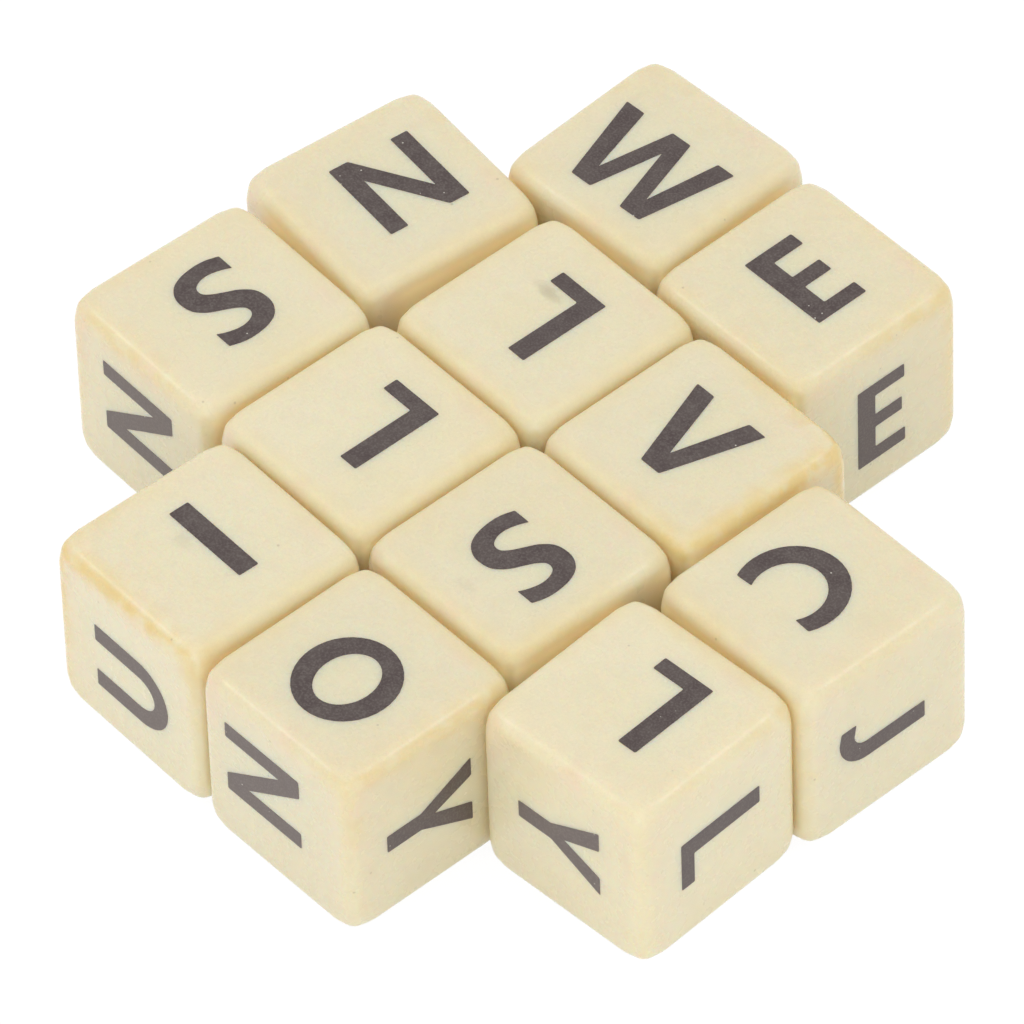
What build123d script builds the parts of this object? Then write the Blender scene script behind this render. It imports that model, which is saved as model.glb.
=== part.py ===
# A set of loose letter dice for a word game, standing in a block of rows as a hand leaves it on the table.
#
# Each die is one solid moulding: a cube whose edges and corners the tumbling barrel has rounded evenly.
# Nothing joins one die to another. The rows run along +X and are counted from the back of the block, which
# faces +Y. +Z is up, and the origin is on the table, under the middle of the block.

from build123d import *

import os
from collections import namedtuple
from math import cos, radians, sin

# One die, in millimetres
die_size = 16.0
edge_radius = 1.1

# Room between neighbours that stand square to each other, in millimetres
die_gap = 0.3

# Where each die stands. Its place along the row and its drift across it are counted in pitches, from die to
# die, and its turn in degrees, seen from above.
Seat = namedtuple("Seat", "name row along drift turn")
seats = (
    Seat("w_die", row=0, along=-0.88, drift=0.01, turn=3.5),
    Seat("e_die", row=0, along=0.14, drift=0.0, turn=1.0),
    Seat("n_die", row=1, along=-1.54, drift=0.01, turn=-5.5),
    Seat("middle_l_die", row=1, along=-0.47, drift=-0.01, turn=0.0),
    Seat("v_die", row=1, along=0.53, drift=-0.01, turn=0.5),
    Seat("c_die", row=1, along=1.55, drift=-0.22, turn=1.0),
    Seat("left_s_die", row=2, along=-1.51, drift=-0.02, turn=-1.5),
    Seat("left_l_die", row=2, along=-0.5, drift=-0.01, turn=0.0),
    Seat("middle_s_die", row=2, along=0.5, drift=-0.01, turn=0.5),
    Seat("front_l_die", row=2, along=1.55, drift=-0.24, turn=4.5),
    Seat("i_die", row=3, along=-0.43, drift=-0.01, turn=-1.0),
    Seat("o_die", row=3, along=0.58, drift=-0.02, turn=0.5),
)

half = die_size / 2
pitch = die_size + die_gap
row_count = 1 + max(seat.row for seat in seats)


def standing_place(seat):
    """The point on the table where a die stands, before the block is centred."""
    middle_row = (row_count - 1) / 2
    return pitch * seat.along, pitch * (middle_row - seat.row + seat.drift)


def reach(seat):
    """How far a die, turned on its seat, reaches from its middle along the rows and across them."""
    turn = radians(seat.turn)
    return (half - edge_radius) * (abs(cos(turn)) + abs(sin(turn))) + edge_radius


def block_middle(axis):
    """The middle of the whole block along X (0) or Y (1)."""
    low = min(standing_place(seat)[axis] - reach(seat) for seat in seats)
    high = max(standing_place(seat)[axis] + reach(seat) for seat in seats)
    return (low + high) / 2


middle_x = block_middle(0)
middle_y = block_middle(1)
os.makedirs("parts", exist_ok=True)

# The die as it comes from the barrel, standing on the table at the origin: a sharp core, grown all round by
# the radius that the barrel leaves on every edge and corner
core_size = die_size - 2 * edge_radius
with BuildPart() as blank:
    with Locations((0, 0, half)):
        Box(core_size, core_size, core_size)
    offset(amount=edge_radius, kind=Kind.ARC)

# The dice of the set, each turned a little on its own seat in the block
for seat in seats:
    x, y = standing_place(seat)
    with BuildPart(Plane(origin=(x - middle_x, y - middle_y, 0)).rotated((0, 0, seat.turn))) as die:
        add(blank.part)
    die.part.label = seat.name
    export_step(die.part, f"parts/{seat.name}.step")
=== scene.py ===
"""A set of loose letter dice for a word game: ivory plastic cubes, softened by tumbling, with one plain
capital printed on each face, standing in a block of rows on a white table."""

import random
from collections import namedtuple
from math import atan2, ceil, cos, pi, radians, sin

import bpy
from bpy.props import FloatProperty, FloatVectorProperty, IntProperty, PointerProperty
from mathutils import Matrix, Vector


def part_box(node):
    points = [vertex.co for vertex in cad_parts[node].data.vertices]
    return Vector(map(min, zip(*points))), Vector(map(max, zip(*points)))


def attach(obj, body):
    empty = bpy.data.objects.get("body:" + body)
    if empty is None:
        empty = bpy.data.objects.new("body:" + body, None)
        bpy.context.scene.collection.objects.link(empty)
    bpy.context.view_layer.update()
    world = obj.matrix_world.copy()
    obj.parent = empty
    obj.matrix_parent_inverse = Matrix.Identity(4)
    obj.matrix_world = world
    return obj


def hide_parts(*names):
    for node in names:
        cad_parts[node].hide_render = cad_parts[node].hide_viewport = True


bl_info = {
    "name": "Letter Dice",
    "version": (1, 0, 0),
    "blender": (4, 5, 0),
    "location": "View3D > Sidebar > Letter Dice",
    "description": "Models a block of worn letter dice on a white table",
    "category": "Add Mesh",
}

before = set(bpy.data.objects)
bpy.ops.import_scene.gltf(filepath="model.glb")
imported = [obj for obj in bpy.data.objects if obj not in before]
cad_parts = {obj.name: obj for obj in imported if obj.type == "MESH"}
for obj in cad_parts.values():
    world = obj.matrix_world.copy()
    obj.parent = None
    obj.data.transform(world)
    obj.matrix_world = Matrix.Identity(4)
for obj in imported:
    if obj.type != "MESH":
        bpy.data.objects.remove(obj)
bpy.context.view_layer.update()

MM = 0.001

# The numbers that settle the patterns in the plastic and in the ink
PLASTIC_SEED = 5
INK_SEED = 8

# A die that stands square to the block, so that its box is its size
SQUARE_DIE = "middle_l_die"
square_low, square_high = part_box(SQUARE_DIE)
DIE_SIZE = (square_high - square_low).x

# Each face of a die by two of its own directions, to the right and up as the face is read
Face = namedtuple("Face", "right up")
FACES = {
    "top": Face(Vector((1, 0, 0)), Vector((0, 1, 0))),
    "front": Face(Vector((1, 0, 0)), Vector((0, 0, 1))),
    "right": Face(Vector((0, 1, 0)), Vector((0, 0, 1))),
    "back": Face(Vector((-1, 0, 0)), Vector((0, 0, 1))),
    "left": Face(Vector((0, -1, 0)), Vector((0, 0, 1))),
    "bottom": Face(Vector((1, 0, 0)), Vector((0, -1, 0))),
}

# The dice, each with how light its plastic is beside the others, how much age has stained its edges, the
# side on which it has stained them most, as a direction on the die itself, and how matt its edges are rubbed
# where it stands against a neighbour
Die = namedtuple("Die", "name tone stain stained_side rubbed", defaults=(0.2,))
DICE = (
    Die("w_die", 0.975, 0.5, (-0.9, 0.3, 0.3)),
    Die("e_die", 0.985, 0.7, (0.5, 0.8, 0.4), rubbed=0.0),
    Die("n_die", 0.98, 0.35, (-0.6, 0.7, 0.3)),
    Die("middle_l_die", 1.0, 0.35, (-0.3, -0.8, 0.2)),
    Die("v_die", 0.985, 1.4, (0.7, 0.15, 0.8)),
    Die("c_die", 0.99, 0.35, (-0.4, 0.9, 0.1)),
    Die("left_s_die", 1.0, 0.5, (-0.5, -0.7, 0.5)),
    Die("left_l_die", 1.015, 0.3, (0.6, 0.5, 0.3)),
    Die("middle_s_die", 0.985, 0.4, (0.8, -0.6, 0.1)),
    Die("front_l_die", 1.015, 0.6, (0.1, 0.9, 0.3)),
    Die("i_die", 1.01, 1.1, (-0.3, -0.8, 0.5)),
    Die("o_die", 0.98, 0.5, (0.8, 0.2, 0.6)),
)

# A printed capital: its die and face, its quarter turns against the clock, and how far, in millimetres, the
# print has strayed to the right and up from the middle of the face
Print = namedtuple("Print", "die face capital quarters right up")
PRINTS = (
    Print("w_die", "top", "W", 0, -0.12, -1.17),
    Print("e_die", "top", "E", 1, -0.12, 0.22),
    Print("n_die", "top", "N", 3, -0.25, 0.92),
    Print("middle_l_die", "top", "L", 2, -0.22, 0.1),
    Print("v_die", "top", "V", 0, -0.21, -0.09),
    Print("c_die", "top", "C", 3, -0.87, 0.0),
    Print("left_s_die", "top", "S", 3, -0.15, 0.41),
    Print("left_l_die", "top", "L", 2, 0.2, 0.4),
    Print("middle_s_die", "top", "S", 3, 0.89, -0.35),
    Print("front_l_die", "top", "L", 2, 0.68, 0.58),
    Print("i_die", "top", "I", 3, -0.28, 0.72),
    Print("o_die", "top", "O", 0, 0.04, -0.89),
    Print("left_s_die", "front", "N", 3, -0.03, 1.02),
    Print("i_die", "front", "U", 1, 0.5, -0.53),
    Print("o_die", "front", "N", 3, -1.28, 1.07),
    Print("front_l_die", "front", "Y", 3, -0.26, 0.38),
    Print("e_die", "right", "E", 0, 0.13, -0.39),
    Print("c_die", "right", "J", 3, -0.75, 0.3),
    Print("front_l_die", "right", "L", 3, -0.04, -0.02),
    Print("o_die", "right", "Y", 3, -0.45, -0.41),
)

# A smear of ink on the top of a die: its middle, its reach to the sides and its width, in millimetres
Smudge = namedtuple("Smudge", "die right up reach width strength")
SMUDGES = (
    Smudge("middle_l_die", -1.75, 2.05, 2.0, 0.8, 0.24),
    Smudge("i_die", -1.7, -1.1, 1.5, 0.8, 0.08),
    Smudge("middle_s_die", 0.0, -5.2, 1.3, 0.7, 0.08),
)


class DiceShape(bpy.types.PropertyGroup):
    """Shape of the dice"""

    edge_radius: FloatProperty(
        name="Edge radius",
        description="Radius that tumbling leaves along the edges",
        default=1.1 * MM,
        unit="LENGTH",
    )
    corner_wear: FloatProperty(
        name="Corner wear",
        description="How far tumbling has pushed each corner in",
        default=0.28 * MM,
        unit="LENGTH",
    )
    wear_reach: FloatProperty(
        name="Wear reach",
        description="How far from a corner that wear fades out",
        default=2.0 * MM,
        unit="LENGTH",
    )
    smoothing: IntProperty(
        name="Smoothing",
        description="Levels of subdivision on the die",
        default=3,
        min=1,
        max=4,
    )


class PlasticFinish(bpy.types.PropertyGroup):
    """Finish of the ivory plastic"""

    ivory: FloatVectorProperty(
        name="Ivory",
        description="Colour of the plastic on a clean face",
        default=(0.835, 0.765, 0.545),
        subtype="COLOR",
        size=3,
    )
    amber: FloatVectorProperty(
        name="Amber",
        description="Colour that age gives the edges",
        default=(0.81, 0.645, 0.31),
        subtype="COLOR",
        size=3,
    )
    blush: FloatVectorProperty(
        name="Blush",
        description="Colour of the faint warm blotches",
        default=(0.85, 0.68, 0.52),
        subtype="COLOR",
        size=3,
    )
    # Painted gap light: a lighter colour low on the sides that a neighbour stands against, in place of the
    # light that the plastic passes into the gaps
    sheltered: FloatVectorProperty(
        name="Sheltered",
        description="Colour of the sides that stand against a neighbour",
        default=(1.0, 0.85, 0.55),
        subtype="COLOR",
        size=3,
    )
    # Painted glow: an emission on the sides that a neighbour stands against, in place of the light that the
    # plastic passes into the gaps
    through: FloatVectorProperty(
        name="Through",
        description="Colour of the light that the plastic passes on to those sides",
        default=(1.0, 0.78, 0.42),
        subtype="COLOR",
        size=3,
    )
    soil: FloatVectorProperty(
        name="Soil",
        description="Colour of the fine specks of dirt",
        default=(0.33, 0.28, 0.19),
        subtype="COLOR",
        size=3,
    )
    depth: FloatProperty(
        name="Depth",
        description="How far light spreads inside the plastic",
        default=2.5 * MM,
        unit="LENGTH",
    )
    milkiness: FloatProperty(
        name="Milkiness",
        description="Share of the light that spreads inside the plastic",
        default=0.6,
        subtype="FACTOR",
        min=0,
        max=1,
    )
    # Strength of that painted glow
    glow: FloatProperty(
        name="Glow",
        description="Strength of the light that the plastic passes on to the sheltered sides",
        default=0.045,
        min=0,
    )
    roughness: FloatProperty(
        name="Roughness",
        description="Roughness of a clean face",
        default=0.26,
        subtype="FACTOR",
        min=0,
        max=1,
    )


class LetterInk(bpy.types.PropertyGroup):
    """Printed capitals"""

    ink: FloatVectorProperty(
        name="Ink",
        description="Colour of the letters",
        default=(0.047, 0.026, 0.024),
        subtype="COLOR",
        size=3,
    )
    # Painted light: this paler colour of the letters on the upright faces stands in for how those faces
    # catch the light
    paler_ink_painted_light: FloatVectorProperty(
        name="Thin ink",
        description="Colour of the letters where the ink is thin",
        default=(0.12, 0.088, 0.079),
        subtype="COLOR",
        size=3,
    )
    bare: FloatVectorProperty(
        name="Bare",
        description="Colour that shows through pin-holes in the ink",
        default=(0.72, 0.69, 0.6),
        subtype="COLOR",
        size=3,
    )
    film: FloatProperty(
        name="Film",
        description="Thickness of the printed film, half of it above the face",
        default=0.03 * MM,
        unit="LENGTH",
    )
    corner: FloatProperty(
        name="Corner",
        description="Radius of a letter's corners",
        default=0.12 * MM,
        unit="LENGTH",
    )
    stray: FloatProperty(
        name="Stray",
        description="How far a print may stray from the middle of a face",
        default=0.8 * MM,
        unit="LENGTH",
    )
    seed: IntProperty(
        name="Seed",
        description="Number that settles the letters on the unseen faces",
        default=12,
    )


class StageSetup(bpy.types.PropertyGroup):
    """Camera, table and lamps"""

    azimuth: FloatProperty(
        name="Azimuth",
        description="Direction of the camera round the dice",
        default=radians(50.42),
        subtype="ANGLE",
    )
    elevation: FloatProperty(
        name="Elevation",
        description="Height of the camera above the horizon",
        default=radians(47.11),
        subtype="ANGLE",
    )
    roll: FloatProperty(
        name="Roll",
        description="Tilt of the camera about its own line of sight",
        default=radians(-2.13),
        subtype="ANGLE",
    )
    distance: FloatProperty(
        name="Distance",
        description="From the camera to the point that it looks at",
        default=988.07 * MM,
        unit="LENGTH",
    )
    target: FloatVectorProperty(
        name="Target",
        description="Point that the camera looks at",
        default=(-0.546 * MM, -1.737 * MM, 8.0 * MM),
        subtype="TRANSLATION",
        size=3,
    )
    lens: FloatProperty(
        name="Lens",
        description="Focal length of the camera, in millimetres",
        default=478.77,
        unit="CAMERA",
    )
    ambient: FloatProperty(
        name="Ambient",
        description="Light from all round",
        default=0.75,
    )


# The outlines of the capitals, in millimetres about the middle of the letter, four up and four down


def arc(middle, radii, start, end, step=9):
    """Points along an ellipse from one angle to another, in degrees against the clock."""
    count = max(2, ceil(abs(end - start) / step))
    turns = [radians(start + (end - start) * i / count) for i in range(count + 1)]
    return [(middle[0] + radii[0] * cos(t), middle[1] + radii[1] * sin(t)) for t in turns]


def flowing(points, steps=4):
    """Points along a smooth line through a few given ones."""
    ends = [points[0], *points, points[-1]]
    line = [points[0]]
    for a, b, c, d in zip(ends, ends[1:], ends[2:], ends[3:]):
        for i in range(1, steps + 1):
            t = i / steps
            line.append(
                tuple(
                    0.5 * (2 * q + (r - p) * t + (2 * p - 5 * q + 4 * r - s) * t**2
                           + (3 * q - p - 3 * r + s) * t**3)
                    for p, q, r, s in zip(a, b, c, d)
                )
            )
    return line


def half_turn(points):
    """The same points turned half round about the middle of the letter."""
    return [(-x, -y) for x, y in points]


S_HALF = flowing(
    [(2.54, 3.78), (1.5, 4.1), (0.4, 4.17), (-0.9, 3.97), (-1.9, 3.48), (-2.5, 2.65), (-2.65, 1.7),
     (-2.4, 0.65), (-1.6, -0.15), (-0.6, -0.66), (0.3, -1.14), (0.82, -1.65), (0.75, -2.3), (0.1, -2.72),
     (-0.8, -2.81), (-1.8, -2.58), (-2.54, -2.24)]
)

CAPITALS = {
    "A": (
        [(-3.6, -4), (-1.85, -4), (-1.2, -2.05), (1.2, -2.05), (1.85, -4), (3.6, -4), (0.95, 4), (-0.95, 4)],
        [(-0.8, -0.75), (0.8, -0.75), (0, 2.1)],
    ),
    "C": (
        arc((1.2, 0), (4.42, 4.15), 65, 295) + arc((1.48, 0), (2.94, 2.69), 301, 59),
    ),
    "D": (
        [(-3.3, -4), *arc((-0.5, 0), (3.8, 4), -90, 90), (-3.3, 4)],
        [(-1.6, -2.65), *arc((-0.6, 0), (2.15, 2.65), -90, 90), (-1.6, 2.65)],
    ),
    "E": (
        [(-2.33, -4), (2.35, -4), (2.35, -2.7), (-0.6, -2.7), (-0.6, -0.6), (2.05, -0.6), (2.05, 0.72),
         (-0.6, 0.72), (-0.6, 2.7), (2.3, 2.7), (2.3, 4), (-2.33, 4)],
    ),
    "F": (
        [(-2.2, -4), (-0.45, -4), (-0.45, -0.65), (2.0, -0.65), (2.0, 0.7), (-0.45, 0.7), (-0.45, 2.7),
         (2.3, 2.7), (2.3, 4), (-2.2, 4)],
    ),
    "H": (
        [(-3.3, -4), (-1.6, -4), (-1.6, -0.7), (1.6, -0.7), (1.6, -4), (3.3, -4), (3.3, 4), (1.6, 4),
         (1.6, 0.7), (-1.6, 0.7), (-1.6, 4), (-3.3, 4)],
    ),
    "I": ([(-0.88, -4), (0.88, -4), (0.88, 4), (-0.88, 4)],),
    "J": (
        [(2, 4.15), (0.35, 4.15), *arc((-0.85, -1.4), (1.2, 1.3), 0, -90), (-2, -2.5), (-2, -3.95),
         *arc((-0.85, -1.4), (2.85, 2.75), -90, 0)],
    ),
    "L": ([(-2.35, -4), (2.35, -4), (2.35, -2.7), (-0.65, -2.7), (-0.65, 4), (-2.35, 4)],),
    "M": (
        [(-4.2, -4), (-2.6, -4), (-2.6, 1.6), (-0.6, -2.6), (0.6, -2.6), (2.6, 1.6), (2.6, -4), (4.2, -4),
         (4.2, 4), (2.4, 4), (0, -0.6), (-2.4, 4), (-4.2, 4)],
    ),
    "N": (
        [(-3.5, -4), (-2, -4), (-2, 1.8), (1.85, -4), (3.55, -4), (3.55, 4), (2, 4), (2, -1.7), (-1.75, 4),
         (-3.5, 4)],
    ),
    "O": (
        arc((0, 0), (3.93, 4.15), 0, 351),
        arc((0, 0), (2.18, 2.7), 0, 351),
    ),
    "S": (S_HALF + half_turn(S_HALF),),
    "T": (
        [(-0.85, -4), (0.85, -4), (0.85, 2.65), (3.1, 2.65), (3.1, 4), (-3.1, 4), (-3.1, 2.65),
         (-0.85, 2.65)],
    ),
    "U": (
        [(-3.18, 4), *arc((0, -0.95), (3.18, 3.2), 180, 360), (3.18, 4), (1.53, 4),
         *arc((0, -0.95), (1.53, 1.7), 360, 180), (-1.53, 4)],
    ),
    "V": ([(-3.65, 4), (-0.9, -4), (1.02, -4), (3.65, 4), (1.92, 4), (0.08, -2.1), (-1.85, 4)],),
    "W": (
        [(-5.55, 4), (-3.35, -4), (-1.4, -4), (0.1, 2), (1.65, -4), (3.65, -4), (5.55, 4), (3.9, 4),
         (2.6, -2.2), (1.05, 4), (-0.8, 4), (-2.35, -2.2), (-3.75, 4)],
    ),
    "Y": (
        [(-3.25, 4), (-0.82, -0.8), (-0.82, -4), (0.85, -4), (0.85, -0.8), (3.25, 4), (1.45, 4), (0.03, 0.5),
         (-1.4, 4)],
    ),
}


# The node trees of the finishes


class Value:
    """A shader socket that takes part in Python sums as a number does."""

    def __init__(self, finish, socket):
        self.finish = finish
        self.socket = socket

    def math(self, operation, *values):
        return self.finish.node("ShaderNodeMath", {"operation": operation}, dict(enumerate(values)))

    def __add__(self, other):
        return self.math("ADD", self, other)

    def __sub__(self, other):
        return self.math("SUBTRACT", self, other)

    def __rsub__(self, other):
        return self.math("SUBTRACT", other, self)

    def __mul__(self, other):
        return self.math("MULTIPLY", self, other)

    def __abs__(self):
        return self.math("ABSOLUTE", self)

    __radd__ = __add__
    __rmul__ = __mul__

    def larger(self, other):
        return self.math("MAXIMUM", self, other)

    def smaller(self, other):
        return self.math("MINIMUM", self, other)

    def rise(self, low, high, bottom=0.0, top=1.0):
        """Goes smoothly from bottom to top as the value goes from low to high."""
        return self.finish.node(
            "ShaderNodeMapRange",
            {"interpolation_type": "SMOOTHSTEP"},
            {"Value": self, "From Min": low, "From Max": high, "To Min": bottom, "To Max": top},
        )


class Finish:
    """A material or world, and the nodes in its tree."""

    def __init__(self, data):
        data.use_nodes = True
        self.data = data
        self.tree = data.node_tree
        self.tree.nodes.clear()

    def node(self, kind, settings=None, inputs=None, output=0):
        """Adds a node, sets it up, fills or links its inputs and gives one of its outputs."""
        made = self.tree.nodes.new(kind)
        for name, value in (settings or {}).items():
            setattr(made, name, value)
        for name, value in (inputs or {}).items():
            if isinstance(value, Value):
                self.tree.links.new(value.socket, made.inputs[name])
            else:
                made.inputs[name].default_value = value
        if not made.outputs:
            return None
        return Value(self, made.outputs[output])

    def noise(self, place, scale, detail):
        return self.node("ShaderNodeTexNoise", None, {"Vector": place, "Scale": scale, "Detail": detail})

    def mixed(self, share, first, second):
        """One colour over another, by a share between 0 and 1."""
        first_colour, second_colour, mixed_colour = 6, 7, 2
        return self.node(
            "ShaderNodeMix",
            {"data_type": "RGBA", "blend_type": "MIX"},
            {0: share, first_colour: first, second_colour: second},
            mixed_colour,
        )

    def along(self, place, direction):
        """How far a place lies along a direction."""
        settings = {"operation": "DOT_PRODUCT"}
        return self.node("ShaderNodeVectorMath", settings, {0: place, 1: direction}, "Value")

    def place_on(self, standing, offset=(0, 0, 0)):
        """The place on a die in millimetres from its middle, along the die's own directions."""
        middle, turn = standing
        here = self.node("ShaderNodeTexCoord", output="Object")
        own = self.node(
            "ShaderNodeMapping",
            {"vector_type": "TEXTURE"},
            {"Vector": here, "Location": middle, "Rotation": (0, 0, turn), "Scale": (MM, MM, MM)},
        )
        if not any(offset):
            return own
        return self.node("ShaderNodeVectorMath", {"operation": "ADD"}, {0: own, 1: offset})


def colour(rgb):
    return (*rgb, 1.0)


# How far off in a pattern, in millimetres, a die may find its own stretch of it
FAR = 500


def far_off(draw):
    """A shift that gives a die a stretch of pattern that no other die shows."""
    return [draw.uniform(-FAR, FAR) for _ in range(3)]


# A side of a die that a neighbour stands against: the way it faces, a direction along it, and from where to
# where along it the neighbour reaches, in millimetres from the middle
Shelter = namedtuple("Shelter", "out along low high")

# How far apart the middles of such neighbours stand, and how far out of line they may be, in dice
NEAREST = 0.9
FURTHEST = 1.15
OUT_OF_LINE = 0.95


def shelters(name):
    """The sides of a die that neighbours stand against."""
    middle, turn = standing_of(name)
    to_die = Matrix.Rotation(-turn, 3, "Z")
    found = []
    for side in ("front", "right", "back", "left"):
        along = FACES[side].right
        out = along.cross(FACES[side].up)
        for other in DICE:
            apart = to_die @ (standing_of(other.name)[0] - middle) / DIE_SIZE
            aside = apart.dot(along)
            if NEAREST < apart.dot(out) < FURTHEST and abs(aside) < OUT_OF_LINE:
                reach = [(aside + end) * DIE_SIZE / MM for end in (-0.5, 0.5)]
                found.append(Shelter(out, along, *reach))
    return found


# How far in from an edge the marks of age reach, in millimetres, how far in the painted gap shade and the
# matt rubbing reach on an edge that a neighbour stands against, and how amber that painted gap shade makes
# the edge
STAIN_REACH = 2.4
BLUSH_REACH = 3.5
RUBBED_AND_SHADED_REACH = 2.2
GAP_SHADE_AMBER = 0.28

# How deep, in millimetres, the light from above goes before the painted gap light and painted glow begin on
# a side that a neighbour stands against, and how softly that painted side ends at an edge of the die or,
# where the neighbour stands out of line, in the middle of a face
LIT_DEPTH = 1.8
EDGE_END = 0.9
OPEN_END = 3.0


def sheltered_sides(finish, die, own, base, settings):
    """The base colour, with painted gap shade on the edges and painted gap light lower down, the painted
    glow and the rubbed edges of a die where neighbours stand against it.
    """
    half = DIE_SIZE / 2 / MM
    z = finish.along(own, (0, 0, 1))
    below = z.rise(half - LIT_DEPTH, half - 0.6, 1.0, 0.0)
    glow = colour((0, 0, 0))
    rubbed = []
    for shelter in shelters(die.name):
        facing = finish.along(own, shelter.out)
        place = finish.along(own, shelter.along)
        low, high = max(shelter.low, -half), min(shelter.high, half)
        low_end, high_end = (EDGE_END if abs(end) == half else OPEN_END for end in (low, high))
        covered = place.rise(low - 0.3, low + low_end) * place.rise(high - high_end, high + 0.3, 1.0, 0.0)
        painted_gap_light_mask = covered * facing.rise(half - 0.6, half - 0.1) * below
        edge = covered * facing.rise(half - RUBBED_AND_SHADED_REACH, half - 0.3)
        # Painted gap shade: the edge that a neighbour stands against is darkened towards amber
        base = finish.mixed(edge * GAP_SHADE_AMBER, base, colour(settings.amber))
        # Painted gap light and painted glow: lower on that side a lighter colour and an emission stand in
        # for the light that the plastic passes into the gap
        base = finish.mixed(painted_gap_light_mask, base, colour(settings.sheltered))
        glow = finish.mixed(painted_gap_light_mask * z.rise(-half, half - 1.0), glow, colour(settings.through))
        rubbed.append(edge)
    return base, glow, sum(rubbed) * die.rubbed


def ivory_plastic(die, standing, settings, ink, draw):
    """Aged ivory plastic: clouded and grained, with amber edges, faint blotches and specks of dirt, and with
    painted gap shade, painted gap light and a painted glow where neighbours stand against it.
    """
    finish = Finish(bpy.data.materials.new(f"ivory_plastic_{die.name}"))
    half = DIE_SIZE / 2 / MM
    own = finish.place_on(standing)
    strayed = finish.place_on(standing, far_off(draw))
    x, y, z = (finish.node("ShaderNodeSeparateXYZ", None, {"Vector": own}, axis) for axis in range(3))

    # On a face, the second of the three distances from the middle tells how near the closest edge is
    largest = abs(x).larger(abs(y)).larger(abs(z))
    least = abs(x).smaller(abs(y)).smaller(abs(z))
    second = abs(x) + abs(y) + abs(z) - largest - least
    rim = second.rise(half - STAIN_REACH, half - 0.3) * z.rise(half - 0.4, half - 0.1, 1.0, 0.5)
    shoulder = second.rise(half - BLUSH_REACH, half - 0.5)
    handled = z.rise(half - 1.5, half - 0.2, 0.35)

    # The patterns from broad to fine, each by its scale to the millimetre and its detail
    cloud = finish.noise(strayed, 0.12, 3.0)
    blot = finish.noise(own, 0.2, 3.0)
    patch = finish.noise(strayed, 0.28, 3.0)
    wisp = finish.noise(strayed, 0.7, 4.0)
    grain = finish.noise(strayed, 4.0, 3.0)
    dust = finish.noise(strayed, 11.0, 2.0)
    speck = finish.node("ShaderNodeTexVoronoi", None, {"Vector": strayed, "Scale": 0.28}, "Distance")
    worst = Vector(die.stained_side).normalized() / half
    aged = finish.along(own, worst)
    stain = aged.rise(0.4, 1.3, 0.0, die.stain) + patch.rise(0.5, 0.7, 0.0, 0.25)
    stain = stain * rim * wisp.rise(0.3, 0.6, 0.2)

    ivory = colour(Vector(settings.ivory) * die.tone)
    amber = colour(settings.amber)
    soil = colour(settings.soil)
    base = finish.mixed(cloud.rise(0.3, 0.7, 0.0, 0.15), ivory, amber)
    base = finish.mixed(blot.rise(0.55, 0.7, 0.0, 0.5) * shoulder, base, colour(settings.blush))
    base = finish.mixed(stain, base, amber)
    # Painted gap shade, painted gap light and a painted glow where neighbours stand against the die, and its
    # rubbed, matt edges there
    base, glow, rubbed = sheltered_sides(finish, die, own, base, settings)
    base = finish.mixed(wisp.rise(0.35, 0.7, 0.0, 0.04), base, soil)
    base = finish.mixed(grain.rise(0.35, 0.7, 0.0, 0.06) * handled, base, soil)
    base = finish.mixed(dust.rise(0.4, 0.7, 0.0, 0.07) * handled, base, soil)
    base = finish.mixed(speck.rise(0.02, 0.04, 0.4, 0.0), base, soil)
    for smudge in SMUDGES:
        if smudge.die == die.name:
            across, along = x - smudge.right, y - smudge.up
            spread = across * across * (1 / smudge.reach**2) + along * along * (1 / smudge.width**2)
            film = spread.rise(0.0, 1.0, smudge.strength, 0.0) * wisp.rise(0.3, 0.6, 0.2)
            base = finish.mixed(film * z.rise(half - 0.6, half - 0.2), base, colour(ink))

    rough = wisp.rise(0.3, 0.7, settings.roughness - 0.02, settings.roughness + 0.04) + rubbed
    relief = finish.node(
        "ShaderNodeBump",
        None,
        {"Strength": 0.03, "Distance": 0.03 * MM, "Height": grain + wisp},
    )
    finish.node(
        "ShaderNodeOutputMaterial",
        None,
        {
            "Surface": finish.node(
                "ShaderNodeBsdfPrincipled",
                {"subsurface_method": "RANDOM_WALK"},
                {
                    "Base Color": base,
                    "Roughness": rough,
                    "IOR": 1.5,
                    "Subsurface Weight": settings.milkiness,
                    "Subsurface Radius": (1.0, 0.6, 0.3),
                    "Subsurface Scale": settings.depth,
                    # The painted glow on the sides that neighbours stand against
                    "Emission Color": glow,
                    "Emission Strength": settings.glow,
                    "Normal": relief,
                },
            )
        },
    )
    return finish.data


# How much of the painted light that makes the letters paler the right and left faces get, beside the front
# and back ones
RIGHT_PAINTED_LIGHT = 0.42


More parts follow.
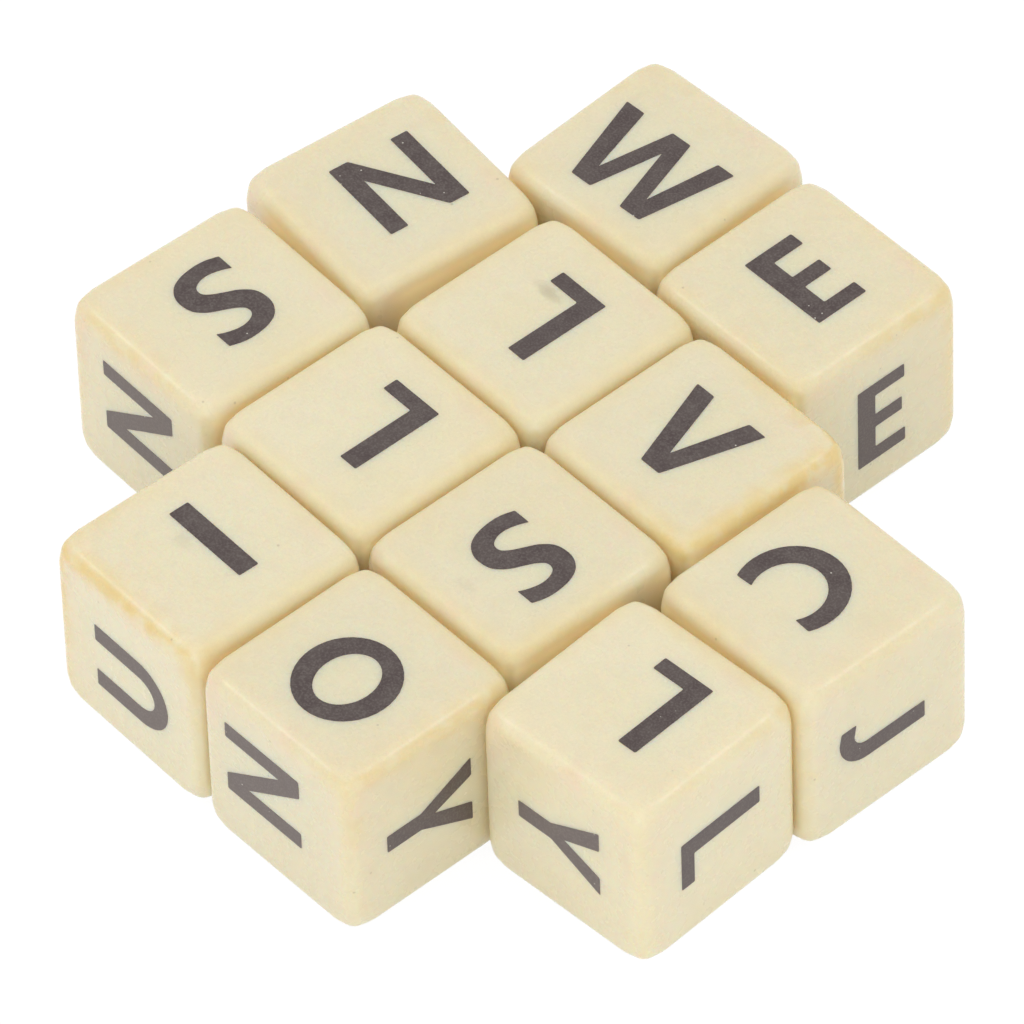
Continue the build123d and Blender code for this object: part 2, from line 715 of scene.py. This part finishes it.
def letter_ink(die, standing, settings, draw):
    """Printing ink, a little cloudy and painted paler on the upright faces as painted light, with pin-holes
    where the plastic shows.
    """
    finish = Finish(bpy.data.materials.new(f"letter_ink_{die.name}"))
    half = DIE_SIZE / 2 / MM
    own = finish.place_on(standing)
    strayed = finish.place_on(standing, far_off(draw))
    x, y = (abs(finish.node("ShaderNodeSeparateXYZ", None, {"Vector": own}, axis)) for axis in range(2))
    on_right = x.rise(half - 0.3, half - 0.1)
    on_front = y.rise(half - 0.3, half - 0.1)
    # Painted light: the letters on the upright faces are paler, the right and left ones less than the front
    # and back
    thin = on_right * RIGHT_PAINTED_LIGHT + on_front
    cloud = finish.noise(strayed, 0.7, 3.0)
    grain = finish.noise(strayed, 6.0, 2.0)
    dot = finish.node("ShaderNodeTexVoronoi", None, {"Vector": strayed, "Scale": 0.8}, "Distance")
    base = finish.mixed(thin, colour(settings.ink), colour(settings.paler_ink_painted_light))
    base = finish.mixed(cloud.rise(0.3, 0.7, 0.0, 0.04), base, colour(settings.bare))
    base = finish.mixed(grain.rise(0.4, 0.75, 0.0, 0.075), base, colour(settings.bare))
    base = finish.mixed(dot.rise(0.035, 0.06, 0.85, 0.0), base, colour(settings.bare))
    finish.node(
        "ShaderNodeOutputMaterial",
        None,
        {
            "Surface": finish.node(
                "ShaderNodeBsdfPrincipled",
                None,
                {"Base Color": base, "Roughness": cloud.rise(0.3, 0.7, 0.4, 0.52), "IOR": 1.5},
            )
        },
    )
    return finish.data


# The pieces


# A face is upright where its normal rises or falls by less than this
UPRIGHT = 0.01


def standing_of(node):
    """The middle of a die in the frame, and how far it is turned on the table."""
    low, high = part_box(node)
    sides = [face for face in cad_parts[node].data.polygons if abs(face.normal.z) < UPRIGHT]
    widest = max(sides, key=lambda face: face.area).normal
    quarter = pi / 2
    turn = (atan2(widest.y, widest.x) + quarter / 2) % quarter - quarter / 2
    return (low + high) / 2, turn


def start_clean():
    """Leaves nothing selected, so that a tool acts only on what follows."""
    if bpy.context.object and bpy.context.object.mode != "OBJECT":
        bpy.ops.object.mode_set(mode="OBJECT")
    bpy.ops.object.select_all(action="DESELECT")


def only(piece):
    start_clean()
    piece.select_set(True)
    bpy.context.view_layer.objects.active = piece


def copy_at(master, name, place):
    """A copy with its own mesh, which holds the copy's place."""
    piece = bpy.data.objects.new(name, master.data.copy())
    bpy.context.scene.collection.objects.link(piece)
    piece.data.transform(place)
    return piece


def remove(master):
    mesh = master.data
    bpy.data.objects.remove(master)
    bpy.data.meshes.remove(mesh)


# Points nearer to each other than this are one point
SAME_POINT = 0.001 * MM

# A cage for a round edge of radius 1: its chamfer, and how far from the edge two rings hold the face flat
CHAMFER = 0.568
NEAR_RING = 1.2
FAR_RING = 2.0


def wear_corners(die, shape):
    """Pushes each corner's tip in, and what lies round it with it."""

    def least(vertex):
        return min(abs(value) for value in vertex.co)

    tip = max(die.data.vertices, key=least)
    for vertex in die.data.vertices:
        vertex.select = least(vertex) > least(tip) - SAME_POINT / 10
    bpy.ops.object.mode_set(mode="EDIT")
    pushed_in = 1 - shape.corner_wear / tip.co.length
    bpy.ops.transform.resize(
        value=(pushed_in,) * 3,
        center_override=(0, 0, 0),
        use_proportional_edit=True,
        proportional_edit_falloff="SMOOTH",
        proportional_size=shape.wear_reach,
    )
    bpy.ops.object.mode_set(mode="OBJECT")


def moulded_die(shape):
    """One die about the origin: a chamfered cage, ringed along its edges, smoothed, its corners worn."""
    start_clean()
    bpy.ops.mesh.primitive_cube_add(size=DIE_SIZE)
    die = bpy.context.object
    half = DIE_SIZE / 2
    chamfer = CHAMFER * shape.edge_radius
    bpy.ops.object.mode_set(mode="EDIT")
    bpy.ops.mesh.select_all(action="SELECT")
    bpy.ops.mesh.bevel(offset=chamfer, offset_type="OFFSET", segments=1, affect="EDGES")
    for axis in range(3):
        across = Vector(int(i == axis) for i in range(3))
        for ring in (NEAR_RING, FAR_RING):
            for side in (-1, 1):
                bpy.ops.mesh.select_all(action="SELECT")
                reach = half - ring * shape.edge_radius
                bpy.ops.mesh.bisect(plane_co=across * side * reach, plane_no=across)
    bpy.ops.mesh.select_all(action="DESELECT")
    bpy.ops.object.mode_set(mode="OBJECT")
    smooth = die.modifiers.new("tumbling", "SUBSURF")
    smooth.levels = smooth.render_levels = shape.smoothing
    bpy.ops.object.modifier_apply(modifier=smooth.name)
    wear_corners(die, shape)
    bpy.ops.object.shade_smooth()
    return die


def rounded(points, radius, steps=2, sharp=radians(25)):
    """An outline with each sharp corner cut back to a small curve."""
    outline = []
    count = len(points)
    for i in range(count):
        before, corner, after = (Vector(points[(i + j) % count]) for j in (-1, 0, 1))
        back, on = before - corner, after - corner
        if pi - back.angle(on) < sharp:
            outline.append(corner)
            continue
        start = corner + back.normalized() * min(radius, back.length / 3)
        end = corner + on.normalized() * min(radius, on.length / 3)
        for step in range(steps + 1):
            t = step / steps
            outline.append(start * (1 - t) ** 2 + corner * 2 * t * (1 - t) + end * t**2)
    return outline


def printed_capital(capital, ink):
    """One capital about the origin, as a thin film that lies flat, half of it above the face."""
    curve = bpy.data.curves.new(f"capital_{capital}", "CURVE")
    curve.dimensions = "2D"
    curve.fill_mode = "BOTH"
    curve.extrude = ink.film / 2
    for points in CAPITALS[capital]:
        outline = rounded(points, ink.corner / MM)
        spline = curve.splines.new("POLY")
        spline.points.add(len(outline) - 1)
        for point, (x, y) in zip(spline.points, outline):
            point.co = (x * MM, y * MM, 0, 1)
        spline.use_cyclic_u = True
    piece = bpy.data.objects.new(curve.name, curve)
    bpy.context.scene.collection.objects.link(piece)
    only(piece)
    bpy.ops.object.convert(target="MESH")
    piece = bpy.context.object
    bpy.ops.object.mode_set(mode="EDIT")
    bpy.ops.mesh.select_all(action="SELECT")
    bpy.ops.mesh.remove_doubles(threshold=SAME_POINT)
    bpy.ops.mesh.normals_make_consistent(inside=False)
    bpy.ops.object.mode_set(mode="OBJECT")
    return piece


def all_prints(ink):
    """The prints on the faces that show, and settled ones on every other face."""
    draw = random.Random(ink.seed)
    prints = list(PRINTS)
    for die in DICE:
        shown = {each.face: each.capital for each in PRINTS if each.die == die.name}
        rest = [capital for capital in CAPITALS if capital not in shown.values()]
        draw.shuffle(rest)
        for face in FACES:
            if face not in shown:
                stray = ink.stray / MM
                right, up = draw.uniform(-stray, stray), draw.uniform(-stray, stray)
                prints.append(Print(die.name, face, rest.pop(), draw.randrange(4), right, up))
    return prints


def place_of_print(each):
    """Where a print lies, from the frame of its letter to the block's."""
    middle, turn = standing_of(each.die)
    face = FACES[each.face]
    out = face.right.cross(face.up)
    on_die = Matrix((face.right, face.up, out)).transposed().to_4x4()
    on_die.translation = out * DIE_SIZE / 2 + (face.right * each.right + face.up * each.up) * MM
    standing = Matrix.Translation(middle) @ Matrix.Rotation(turn, 4, "Z")
    return standing @ on_die @ Matrix.Rotation(each.quarters * pi / 2, 4, "Z")


class LETTERDICE_OT_mould_dice(bpy.types.Operator):
    """Mould the dice, one after another, where the frame has them"""

    bl_idname = "letter_dice.mould_dice"
    bl_label = "Mould Dice"

    def execute(self, context):
        draw = random.Random(PLASTIC_SEED)
        settings = context.scene.plastic_finish
        master = moulded_die(context.scene.dice_shape)
        for die in DICE:
            middle, turn = standing_of(die.name)
            place = Matrix.Translation(middle) @ Matrix.Rotation(turn, 4, "Z")
            piece = copy_at(master, f"{die.name}_plastic", place)
            finish = ivory_plastic(die, (middle, turn), settings, context.scene.letter_ink.ink, draw)
            piece.data.materials.append(finish)
            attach(piece, die.name)
            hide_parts(die.name)
        remove(master)
        return {"FINISHED"}


class LETTERDICE_OT_print_letters(bpy.types.Operator):
    """Print a capital on each face of each die"""

    bl_idname = "letter_dice.print_letters"
    bl_label = "Print Letters"

    def execute(self, context):
        draw = random.Random(INK_SEED)
        ink = context.scene.letter_ink
        prints = all_prints(ink)
        masters = {each: printed_capital(each, ink) for each in sorted({p.capital for p in prints})}
        for die in DICE:
            films = [
                copy_at(masters[each.capital], f"{die.name}_letters", place_of_print(each))
                for each in prints
                if each.die == die.name
            ]
            only(films[0])
            for film in films:
                film.select_set(True)
            bpy.ops.object.join()
            piece = bpy.context.object
            piece.data.materials.clear()
            piece.data.materials.append(letter_ink(die, standing_of(die.name), ink, draw))
            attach(piece, die.name)
        for master in masters.values():
            remove(master)
        return {"FINISHED"}


# A square soft box: the way to it from the dice, how far off it hangs and its size, both in metres, and the
# light that it throws on a face turned to it
Lamp = namedtuple("Lamp", "name towards distance size level")
LAMPS = (
    Lamp("overhead_box", (0, 0, 1), 0.6, 0.8, 0.15),
    Lamp("left_box", (-0.525, -0.38, 0.76), 0.6, 0.16, 0.06),
    Lamp("back_box", (0.34, 0.43, 0.83), 0.6, 0.16, 0.06),
    Lamp("fill_box", (0.58, -0.68, 0.42), 0.8, 0.6, 0.155),
)

# The table's size in metres, its white, how much of it the white background washes out, and how bright that
# background is
TABLE_SIZE = 1.6
TABLE_WHITE = 0.97
WASHED_OUT = 0.88
BACKGROUND = 1.06


def hang(lamp):
    """Hangs a soft box where it lights the dice."""
    data = bpy.data.lights.new(lamp.name, "AREA")
    data.shape = "SQUARE"
    data.size = lamp.size
    data.energy = lamp.level * (pi * lamp.distance) ** 2
    piece = bpy.data.objects.new(lamp.name, data)
    bpy.context.scene.collection.objects.link(piece)
    direction = Vector(lamp.towards).normalized()
    piece.location = direction * lamp.distance
    piece.rotation_euler = direction.to_track_quat("Z", "Y").to_euler()


def seen_directly(finish):
    """1 where the eye, a reflection or a view through looks at the ground, and 0 for its own light."""
    seen, *others = (
        finish.node("ShaderNodeLightPath", output=ray)
        for ray in ("Is Camera Ray", "Is Glossy Ray", "Is Transmission Ray")
    )
    for other in others:
        seen = seen.larger(other)
    return seen


def white_table():
    """A white ground that keeps only a trace of the dice's shadow."""
    start_clean()
    bpy.ops.mesh.primitive_grid_add(x_subdivisions=4, y_subdivisions=4, size=TABLE_SIZE)
    table = bpy.context.object
    table.name = "table"
    finish = Finish(bpy.data.materials.new("white_table"))
    paper = finish.node("ShaderNodeBsdfDiffuse", None, {"Color": colour((TABLE_WHITE,) * 3)})
    clear = finish.node("ShaderNodeBsdfTransparent", None, {"Color": (1, 1, 1, 1)})
    washed_out = seen_directly(finish) * WASHED_OUT
    finish.node(
        "ShaderNodeOutputMaterial",
        None,
        {"Surface": finish.node("ShaderNodeMixShader", None, {0: washed_out, 1: paper, 2: clear})},
    )
    table.data.materials.append(finish.data)


def studio_world(ambient):
    """Even light from all round, in front of a white background."""
    finish = Finish(bpy.data.worlds.new("studio"))
    level = seen_directly(finish).rise(0, 1, ambient, BACKGROUND)
    finish.node(
        "ShaderNodeOutputWorld",
        None,
        {"Surface": finish.node("ShaderNodeBackground", None, {"Color": (1, 1, 1, 1), "Strength": level})},
    )
    bpy.context.scene.world = finish.data


def stand_camera(setup):
    """The camera, from its directions to the right, up and back."""
    azimuth, elevation = setup.azimuth, setup.elevation
    back = Vector((sin(azimuth) * cos(elevation), -cos(azimuth) * cos(elevation), sin(elevation)))
    level_right = Vector((cos(azimuth), sin(azimuth), 0))
    level_up = back.cross(level_right)
    right = level_right * cos(setup.roll) + level_up * sin(setup.roll)
    up = level_up * cos(setup.roll) - level_right * sin(setup.roll)
    data = bpy.data.cameras.new("camera")
    data.sensor_fit = "HORIZONTAL"
    data.sensor_width = 36
    data.lens = setup.lens
    data.clip_start = 0.01
    data.clip_end = 10
    camera = bpy.data.objects.new("camera", data)
    bpy.context.scene.collection.objects.link(camera)
    place = Matrix((right, up, back)).transposed().to_4x4()
    place.translation = Vector(setup.target) + back * setup.distance
    camera.matrix_world = place
    bpy.context.scene.camera = camera


class LETTERDICE_OT_set_stage(bpy.types.Operator):
    """Set the table, lamps and camera round the dice"""

    bl_idname = "letter_dice.set_stage"
    bl_label = "Set Stage"

    def execute(self, context):
        setup = context.scene.stage_setup
        context.scene.view_settings.view_transform = "Standard"
        white_table()
        studio_world(setup.ambient)
        for lamp in LAMPS:
            hang(lamp)
        stand_camera(setup)
        return {"FINISHED"}


# The groups of settings by their names in the scene, each with the operator that the sidebar lists under it
STEPS = (
    ("dice_shape", DiceShape, LETTERDICE_OT_mould_dice),
    ("plastic_finish", PlasticFinish, None),
    ("letter_ink", LetterInk, LETTERDICE_OT_print_letters),
    ("stage_setup", StageSetup, LETTERDICE_OT_set_stage),
)


class LETTERDICE_PT_sidebar(bpy.types.Panel):
    """Sizes, finishes and steps of the letter dice"""

    bl_label = "Letter Dice"
    bl_space_type = "VIEW_3D"
    bl_region_type = "UI"
    bl_category = "Letter Dice"

    def draw(self, context):
        for name, group, operator in STEPS:
            box = self.layout.box()
            box.label(text=group.__doc__)
            for setting in group.__annotations__:
                box.prop(getattr(context.scene, name), setting)
            if operator:
                box.operator(operator.bl_idname)


CLASSES = (
    DiceShape,
    PlasticFinish,
    LetterInk,
    StageSetup,
    LETTERDICE_OT_mould_dice,
    LETTERDICE_OT_print_letters,
    LETTERDICE_OT_set_stage,
    LETTERDICE_PT_sidebar,
)


def register():
    for each in CLASSES:
        bpy.utils.register_class(each)
    for name, group, _ in STEPS:
        setattr(bpy.types.Scene, name, PointerProperty(type=group))


def unregister():
    for name, _, _ in STEPS:
        delattr(bpy.types.Scene, name)
    for each in reversed(CLASSES):
        bpy.utils.unregister_class(each)


def main():
    register()
    bpy.ops.letter_dice.mould_dice()
    bpy.ops.letter_dice.print_letters()
    bpy.ops.letter_dice.set_stage()


if __name__ == "__main__":
    main()
